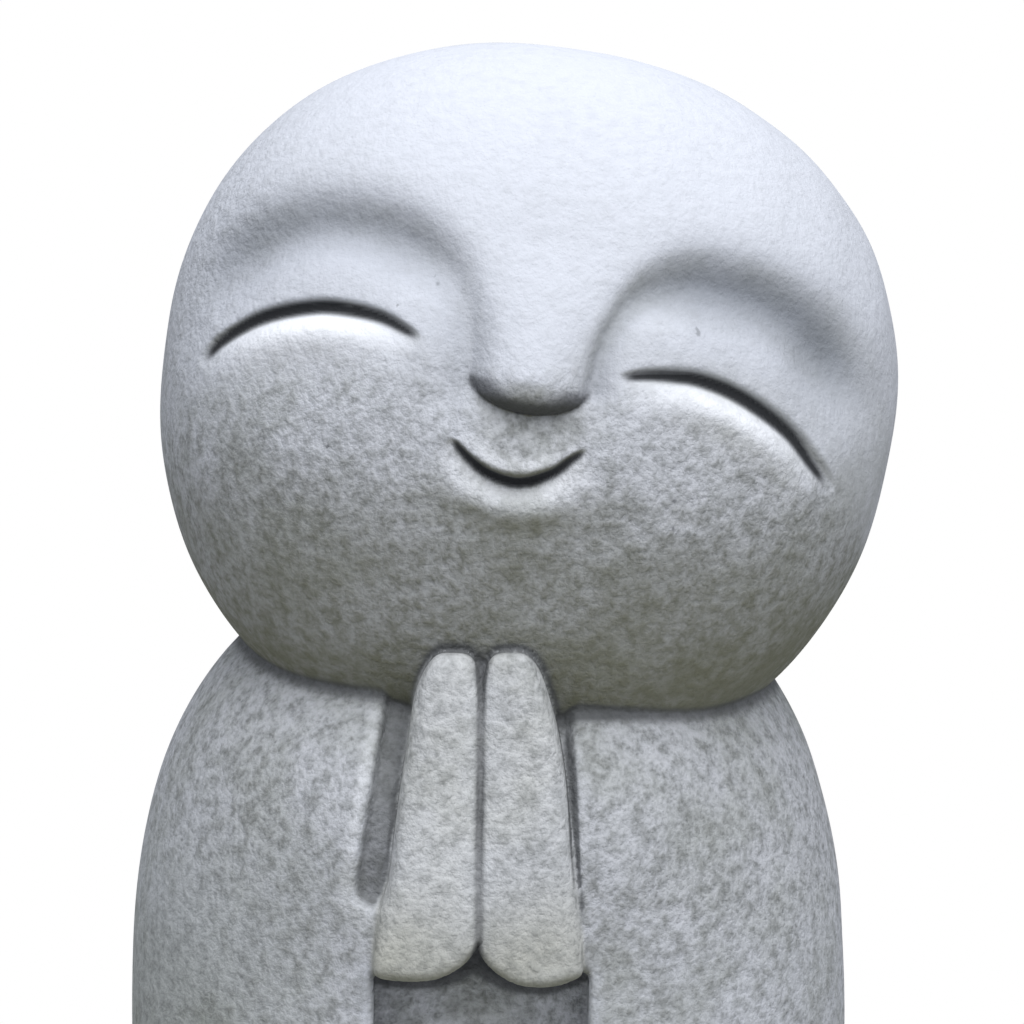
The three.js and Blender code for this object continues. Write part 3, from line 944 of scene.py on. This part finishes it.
    def open_sky(self, points: Array, normals: Array) -> Array:
        """How open each place is to the sky and weather above, from 0 to 1; the stone is painted paler by it, partly
        as sky light.

        Steps of 2 to 90 mm straight up ask how far off the stone is; the least of those distances,
        over half of the step, counts. So leaning back counts, and anything overhead takes away.

        Args:
            points: Points on the surface.
            normals: Their outward normals.

        Returns:
            Shares from 0, sheltered, to 1, open to the sky.
        """
        share = np.ones(len(points))
        for up in (2.0, 5.0, 12.0, 25.0, 50.0, 90.0):
            clear = self.distance(points + 0.3 * normals + np.array([0.0, 0.0, up]))
            share = np.minimum(share, (clear / up + 0.1) / 0.6)
        return np.clip(share, 0.0, 1.0)

    def nearer(self, points: Array, normals: Array, steps: tuple[float, ...]) -> Array:
        """How much nearer the surface is than steps along the normal, as a mean share of the step.

        Args:
            points: Points on the surface.
            normals: Their outward normals.
            steps: Lengths of the steps in mm, negative for steps into the stone.

        Returns:
            Shares from 0, a flat place, to 1.
        """
        shares = [np.clip(1.0 - self.distance(points + normals * out) / out, 0.0, 1.0) for out in steps]
        return sum(shares, np.zeros(len(points))) / len(steps)

    def crevices(self, points: Array, normals: Array) -> Array:
        """How shut in each place is, from 0 to 1, for the painted shade in creases: steps outwards, with the least of
        the shares dropped.
        """
        return np.clip(1.2 * self.nearer(points, normals, (1.5, 3.0, 6.0)) - 0.27, 0.0, 1.0)

    def worn(self, points: Array, normals: Array) -> Array:
        """How much each place stands out and is worn pale, from 0 to 1: steps into the stone."""
        return self.nearer(points, normals, (-2.0, -4.0, -8.0))

    def recess(self, points: Array) -> Array:
        """Where the places below and behind the front of the hands' heels are."""
        _, y, z = points.T
        return (z < self.recess_top) & (y > -self.recess_front)

    def under_hands(self, points: Array) -> Array:
        """How black the painted shadow is in the groove between the hands, and on the robe over 4 mm below their
        heels.
        """
        gap = self.hands.distance(points)
        recess = self.recess(points) & (points[:, 1] < -50.0) & (gap > 0.7)
        return np.maximum(self.hands.between(points), 0.6 * (1.0 - step(2.0, 4.6, gap)) * recess)

    def cuff_rim(self, points: Array) -> Array:
        """How much painted highlight the sleeve's edge beside the groove on the viewer's left gets, from 0 to 1."""
        out, gap, _ = self.hands.from_cuff(points, self.hands.left_cuff)
        down = (self.hands.tip - points[:, 2]) / self.hands.length
        front = (out > 0.0) & (points[:, 1] < -40.0)
        return 0.6 * bell((gap - 1.35) / 0.25) * step(0.05, 0.25, down) * front

    def joints(self, points: Array) -> Array:
        """How much painted shade the joints get, from 0 to 1.

        Along the neck over 6 mm, most to the right of the hands; round the hands over 1.6 mm, less
        towards the heels; over 7 mm of the robe below the heels; and in the groove on the left.

        Args:
            points: Points on the surface.

        Returns:
            Shares from 0, unshaded, to 1, fully shaded.
        """
        head, body, hands = self.head.distance(points), self.body(points), self.hands.distance(points)
        x, _, z = points.T
        neck = (0.5 + 0.35 * bell((x - 27.0) / 12.0)) * (1.0 - step(0.3, 6.0, np.maximum(head, body)))
        low = self.recess(points)
        strength = np.where(low, 1.0, 0.3 * (1.0 - 0.7 * step(240.0, 212.0, z)))
        near = np.maximum(hands, np.minimum(head, body))
        near = np.where(low, (near - 2.4) / 4.5, near / 1.6)
        channel = 0.42 * np.clip(self.hands.cuff(points, self.hands.left_cuff) / 2.5, 0.0, 1.0)
        channel *= (hands > 0.7) & (head > 0.7)
        return np.maximum(np.maximum(neck, channel), strength * (1.0 - step(0.1, 1.0, near)))

    def build(self) -> bpy.types.Object:
        """Make the skin mesh, with a point attribute for each of the stone's masks.

        Returns:
            The statue's object, at the origin, in metres.
        """
        points, faces = self.first_grid()
        fixed = points[:, 2] < GROUND
        settled, normals = self.settle(points)
        points = np.where(fixed[:, None], points, settled)
        for _ in range(self.passes):
            points, normals, faces = self.split(points, normals, faces)
            points = self.relax(points, faces)
            _, normals = self.settle(points, 0)
            LOG.info("skin at %d faces", len(faces))
        points = self.untangle(points, normals, faces)
        _, normals = self.settle(points, 0)
        # Masks for the stone's colour: those for creases, joints, slit floors, the nose's underside, the places under
        # the hands and the brow grooves paint shade and shadow, the rim mask paints highlights, and the sky mask is
        # partly painted sky light.
        masks = {
            "crease_shade": np.maximum(self.crevices(points, normals), self.joints(points)),
            "sky_lit_and_washed": self.open_sky(points, normals),
            "deep_shadow": np.maximum(self.head.deep_shadow(points), self.under_hands(points)),
            "rim_highlight": np.maximum(self.head.rim_highlight(points), self.cuff_rim(points)),
            "dressed": self.head.dressed(points),
            "shaded": self.head.shaded(points),
            "worn": self.worn(points, normals),
            "hands": self.hands.touched(points),
        }
        low, high = (np.array(corner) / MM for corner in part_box("jizo_statue"))
        points = np.clip(points, low, high)
        mesh = bpy.data.meshes.new("jizo_skin")
        mesh.vertices.add(len(points))
        mesh.vertices.foreach_set("co", (points * MM).reshape(-1))
        mesh.loops.add(faces.size)
        mesh.loops.foreach_set("vertex_index", faces.reshape(-1).astype(np.int32))
        mesh.polygons.add(len(faces))
        mesh.polygons.foreach_set("loop_start", np.arange(0, faces.size, 3, dtype=np.int32))
        mesh.polygons.foreach_set("use_smooth", np.ones(len(faces), dtype=bool))
        for name, values in masks.items():
            mesh.attributes.new(name, "FLOAT", "POINT").data.foreach_set("value", values.astype(np.float32))
        mesh.update(calc_edges=True)
        made = bpy.data.objects.new("jizo_skin", mesh)
        bpy.context.scene.collection.objects.link(made)
        return made


# Shader maths


class Value:
    """An output socket of a node tree, with Python's operators for numbers."""

    def __init__(self, nodes: "Nodes", socket: Any) -> None:
        """Wrap a socket.

        Args:
            nodes: The node tree it is in.
            socket: The output socket.
        """
        self.nodes = nodes
        self.socket = socket

    def _math(self, operation: str, *values: Any, clamp: bool = False) -> "Value":
        """Add a Math node."""
        return self.nodes.make("ShaderNodeMath", {"operation": operation, "use_clamp": clamp}, dict(enumerate(values)))

    def __add__(self, other: Any) -> "Value":
        """Sum."""
        return self._math("ADD", self, other)

    def __radd__(self, other: Any) -> "Value":
        """Sum, the other way round."""
        return self._math("ADD", other, self)

    def __sub__(self, other: Any) -> "Value":
        """Difference."""
        return self._math("SUBTRACT", self, other)

    def __rsub__(self, other: Any) -> "Value":
        """Difference, the other way round."""
        return self._math("SUBTRACT", other, self)

    def __mul__(self, other: Any) -> "Value":
        """Product."""
        return self._math("MULTIPLY", self, other)

    def __rmul__(self, other: Any) -> "Value":
        """Product, the other way round."""
        return self._math("MULTIPLY", other, self)

    def clamp(self) -> "Value":
        """Kept between 0 and 1."""
        return self._math("ADD", self, 0.0, clamp=True)

    def between(self, low: float, high: float) -> "Value":
        """A smooth step from 0 at low to 1 at high."""
        settings = {"interpolation_type": "SMOOTHSTEP"}
        return self.nodes.make("ShaderNodeMapRange", settings, {"Value": self, "From Min": low, "From Max": high})


class Nodes:
    """The node tree of a material or of the world."""

    def __init__(self, owner: bpy.types.Material | bpy.types.World) -> None:
        """Start with an empty tree.

        Args:
            owner: The material or the world.
        """
        owner.use_nodes = True
        self.tree = owner.node_tree
        self.tree.nodes.clear()

    def make(self, kind: str, settings: dict[str, Any], inputs: dict[Any, Any], out: Any = 0) -> Value:
        """Add a node.

        Args:
            kind: The node's type.
            settings: Attributes, set first; "stops" are the two stops of a colour ramp.
            inputs: Values or sockets by the input's name or number.
            out: Name or number of the output to hand back.

        Returns:
            The wrapped output.
        """
        node = self.tree.nodes.new(kind)
        for name, value in settings.items():
            if name == "stops":
                for element, (place, colour) in zip(node.color_ramp.elements, value):
                    element.position, element.color = place, (*colour, 1.0)
            else:
                setattr(node, name, value)
        for name, value in inputs.items():
            if isinstance(value, Value):
                self.tree.links.new(value.socket, node.inputs[name])
            else:
                node.inputs[name].default_value = value
        return Value(self, node.outputs[out])

    def mix(self, share: Any, first: Any, second: Any) -> Value:
        """Mix two colours.

        Args:
            share: Share of the second, from 0 to 1.
            first: Colour or socket.
            second: Colour or socket.

        Returns:
            The mixed colour.
        """
        settings = {"data_type": "RGBA", "blend_type": "MIX", "clamp_factor": True}
        colours = [c if isinstance(c, Value) else (*c, 1.0) for c in (first, second)]
        return self.make("ShaderNodeMix", settings, {0: share, 6: colours[0], 7: colours[1]}, 2)

    def noise(self, where: Any, scale: float, detail: float, rough: float) -> Value:
        """Cloudy noise from 0 to 1 at a scale in cells a metre."""
        inputs = {"Vector": where, "Scale": scale, "Detail": detail, "Roughness": rough}
        return self.make("ShaderNodeTexNoise", {}, inputs)

    def end(self, kind: str, shader: Value) -> None:
        """End the tree in an output node of this kind."""
        self.tree.links.new(shader.socket, self.tree.nodes.new(kind).inputs["Surface"])

    def surface(self, **inputs: Any) -> None:
        """End a material in one Principled shader with these inputs, underscores for spaces."""
        named = {name.replace("_", " "): value for name, value in inputs.items()}
        self.end("ShaderNodeOutputMaterial", self.make("ShaderNodeBsdfPrincipled", {}, named))


@dataclass(frozen=True)
class GreyStone:
    """Bush-hammered grey granite, with painted light and shade: paler where open to the sky, darker where shut in or
    facing down.
    """

    # paler colour where open to the sky: partly weathering, partly painted sky light
    sky_lit_and_washed: tuple[float, float, float] = (0.625, 0.65, 0.715)
    grey: tuple[float, float, float] = (0.555, 0.57, 0.61)
    pit: tuple[float, float, float] = (0.16, 0.17, 0.17)
    stain: tuple[float, float, float] = (0.30, 0.32, 0.28)
    # painted highlight for the rims below the slits, the upper lip and a sleeve edge
    rim_highlight: tuple[float, float, float] = (0.86, 0.88, 0.93)
    heel: tuple[float, float, float] = (0.33, 0.325, 0.25)
    shade: tuple[float, float, float] = (0.17, 0.19, 0.23)
    # olive painted shade for surfaces that face down
    olive_underside_shade: tuple[float, float, float] = (0.15, 0.15, 0.09)
    # painted shade for creases and joints
    crease_shade_colour: tuple[float, float, float] = (0.10, 0.105, 0.11)
    # painted shadow for the slit floors, the nose's underside and the places under the hands
    black: tuple[float, float, float] = (0.034, 0.036, 0.04)
    handled: tuple[float, float, float] = (0.69, 0.70, 0.685)
    roughness: float = 0.9
    shine: float = 0.3
    fine_scale: float = 640.0
    coarse_scale: float = 250.0
    cloud_scale: float = 24.0
    relief: float = 0.0015
    relief_share: float = 0.85

    def material(self) -> bpy.types.Material:
        """Make the stone.

        Stone open to the sky above is paler, partly from weathering and partly painted sky light,
        and so is what stands out, worn; the rims below the slits, the upper lip and a sleeve edge get a
        painted highlight. The brow and the lids are dressed smooth and a little paler, painted light.
        Elsewhere dark pits of two sizes speckle it and soft stains cloud it, and the lower sleeve on
        the viewer's left is darker. The brow grooves get painted shade, olive painted shade lies where
        the surface faces down and grey painted shade where it is shut in, painted shadow makes the
        slits, the underside of the nose and the places under the hands nearly black, and the hands
        are a little lighter, darker and yellower at the heels.

        Returns:
            The material.
        """
        material = bpy.data.materials.new("grey_stone")
        nodes = Nodes(material)
        place = nodes.make("ShaderNodeTexCoord", {}, {}, "Object")
        shut, sky_light_and_wash, cut, hands, worn, rim_highlight, dressed, shaded = (
            nodes.make("ShaderNodeAttribute", {"attribute_name": name}, {}, "Fac")
            for name in ("crease_shade", "sky_lit_and_washed", "deep_shadow", "hands", "worn", "rim_highlight", "dressed", "shaded")
        )
        across = nodes.make("ShaderNodeSeparateXYZ", {}, {0: place}, "X")
        height = nodes.make("ShaderNodeSeparateXYZ", {}, {0: place}, "Z")
        normal = nodes.make("ShaderNodeNewGeometry", {}, {}, "Normal")
        up = nodes.make("ShaderNodeSeparateXYZ", {}, {0: normal}, "Z")
        fine = nodes.noise(place, self.fine_scale, 2.0, 0.6)
        coarse = nodes.noise(place, self.coarse_scale, 3.0, 0.6)
        clouds = nodes.noise(place, self.cloud_scale, 5.0, 0.65)
        grain = (fine * 0.4 + coarse) * (1.0 - dressed * 0.5)
        heights = {"Strength": self.relief_share, "Distance": self.relief, "Height": grain}
        bump = nodes.make("ShaderNodeBump", {}, heights, "Normal")
        speck = (fine.between(0.38, 0.74) * 0.5 + coarse.between(0.36, 0.74) * 0.7).clamp()
        # Paler where open to the sky, partly weathering and partly painted sky light; where the stone stands out, from
        # wear; and on the dressed upper face, painted light.
        sky_light_and_wash = (sky_light_and_wash + worn.between(0.12, 0.6) * 0.5 + dressed * 0.3).clamp()
        speck = speck * (1.0 - sky_light_and_wash * 0.7) * (1.0 - dressed * 0.7) * (1.0 - rim_highlight * 0.7) * (1.0 - hands * 0.35)
        # Darker on the lower sleeve on the viewer's left.
        lower_left_dark = (0.0 - across).between(0.03, 0.09) * (0.0 - height).between(-0.235, -0.185)
        stone = nodes.mix(sky_light_and_wash, self.grey, self.sky_lit_and_washed)
        # Painted highlight on the rims below the slits, the upper lip and the left sleeve's edge.
        stone = nodes.mix(rim_highlight * 0.9, stone, self.rim_highlight)
        stone = nodes.mix((clouds.between(0.4, 0.65) * 0.4 + lower_left_dark * 0.8) * (1.0 - sky_light_and_wash), stone, self.stain)
        stone = nodes.mix(hands * (clouds.between(0.35, 0.65) * 0.3 + 0.6), stone, self.handled)
        # Darker and yellower towards the heels of the hands.
        stone = nodes.mix(hands * (0.0 - height).between(-0.222, -0.184) * 0.85, stone, self.heel)
        stone = nodes.mix(speck * 0.75, stone, self.pit)
        # Painted shade in the brow grooves.
        stone = nodes.mix(shaded * 0.42, stone, self.shade)
        # Painted shade, olive, where the surface faces down, less on the hands and the dressed face.
        under = ((0.0 - up).between(-0.12, 0.78) + (clouds - 0.5) * 0.5 + (coarse - 0.5) * 0.6).clamp()
        under = under * (1.0 - hands * 0.4) * (1.0 - dressed * 0.7)
        colour = nodes.mix(under * 0.84, stone, self.olive_underside_shade)
        # Painted shade in creases, at the neck and round the hands.
        colour = nodes.mix(shut.between(0.05, 0.6) * (0.85 - sky_light_and_wash * 0.4), colour, self.crease_shade_colour)
        # Painted shadow, nearly black: the slit floors, under the nose, and between and under the hands.
        colour = nodes.mix(cut, colour, self.black)
        nodes.surface(Base_Color=colour, Roughness=self.roughness, Normal=bump, Specular_IOR_Level=self.shine)
        return material


@dataclass(frozen=True)
class PaleFloor:
    """A plain pale studio floor."""

    colour: tuple[float, float, float] = (0.55, 0.55, 0.55)
    radius: float = 0.75
    corners: int = 96
    roughness: float = 0.9

    def build(self) -> bpy.types.Object:
        """Lay the floor, a disc under the statue."""
        turn = np.linspace(0.0, 2.0 * np.pi, self.corners, endpoint=False)
        rim = np.stack([np.cos(turn), np.sin(turn), np.zeros_like(turn)], 1) * self.radius
        mesh = bpy.data.meshes.new("floor")
        mesh.from_pydata(rim.tolist(), [], [list(range(len(rim)))])
        floor = bpy.data.objects.new("floor", mesh)
        bpy.context.scene.collection.objects.link(floor)
        material = bpy.data.materials.new("pale_floor")
        Nodes(material).surface(Base_Color=(*self.colour, 1.0), Roughness=self.roughness)
        mesh.materials.append(material)
        return floor


@dataclass
class Studio:
    """Camera, lights and surroundings."""

    aim: tuple[float, float, float] = (7.2, 0.0, 310.0)
    away: float = 1300.0
    elevation: float = math.radians(4.0)
    focal_px: float = 4333.3
    frame_px: float = 1024.0
    sensor: float = 36.0
    low_sky: tuple[float, float, float] = (0.19, 0.2, 0.2)
    high_sky: tuple[float, float, float] = (1.0, 1.03, 1.1)
    sky_strength: float = 0.9

    def camera(self) -> None:
        """Stand the camera in front of the statue and a little above its chin, looking down 4 degrees."""
        data = bpy.data.cameras.new("camera")
        data.sensor_width = self.sensor
        data.lens = self.focal_px / self.frame_px * self.sensor
        camera = bpy.data.objects.new("camera", data)
        back = self.away * math.cos(self.elevation)
        rise = self.away * math.sin(self.elevation)
        camera.location = (self.aim[0] * MM, (self.aim[1] - back) * MM, (self.aim[2] + rise) * MM)
        camera.rotation_euler = (math.pi / 2 - self.elevation, 0.0, 0.0)
        bpy.context.scene.collection.objects.link(camera)
        bpy.context.scene.camera = camera

    def light(self, name: str, place: tuple[float, float, float], size: float, power: float) -> None:
        """Hang a square soft light that points at the statue's chest."""
        data = bpy.data.lights.new(name, "AREA")
        data.shape = "SQUARE"
        data.size = size
        data.energy = power
        lamp = bpy.data.objects.new(name, data)
        lamp.location = place
        lamp.rotation_euler = (Vector((0.0, 0.0, 0.3)) - lamp.location).to_track_quat("-Z", "Y").to_euler()
        bpy.context.scene.collection.objects.link(lamp)

    def surroundings(self) -> None:
        """Light the scene from a pale sky that is brighter overhead, and show it as plain white."""
        world = bpy.data.worlds.new("studio")
        bpy.context.scene.world = world
        nodes = Nodes(world)
        place = nodes.make("ShaderNodeTexCoord", {}, {}, "Generated")
        up = nodes.make("ShaderNodeSeparateXYZ", {}, {0: place}, "Z")
        stops = ((0.0, self.low_sky), (0.9, self.high_sky))
        colour = nodes.make("ShaderNodeValToRGB", {"stops": stops}, {0: up})
        sky = nodes.make("ShaderNodeBackground", {}, {"Color": colour, "Strength": self.sky_strength})
        plain = nodes.make("ShaderNodeBackground", {}, {"Color": (1.0, 1.0, 1.0, 1.0)})
        seen = nodes.make("ShaderNodeLightPath", {}, {}, "Is Camera Ray")
        nodes.end("ShaderNodeOutputWorld", nodes.make("ShaderNodeMixShader", {}, {0: seen, 1: sky, 2: plain}))

    def build(self) -> None:
        """Set up the camera, the lights, the sky and the view."""
        self.camera()
        self.light("overhead", (0.18, -0.9, 1.6), 1.4, 22.0)
        self.light("front", (0.9, -1.9, 0.9), 1.0, 3.0)
        self.surroundings()
        bpy.context.scene.view_settings.view_transform = "Standard"


def main() -> None:
    """Build the statue, its stone and the studio, in order."""
    logging.basicConfig(level=logging.INFO, format="%(name)s: %(message)s")
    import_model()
    statue = Statue().build()
    statue.data.materials.append(GreyStone().material())
    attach(statue, "root")
    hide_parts("jizo_statue")
    LOG.info("statue: %d faces", len(statue.data.polygons))
    PaleFloor().build()
    LOG.info("floor laid")
    Studio().build()
    LOG.info("studio set")


if __name__ == "__main__":
    main()
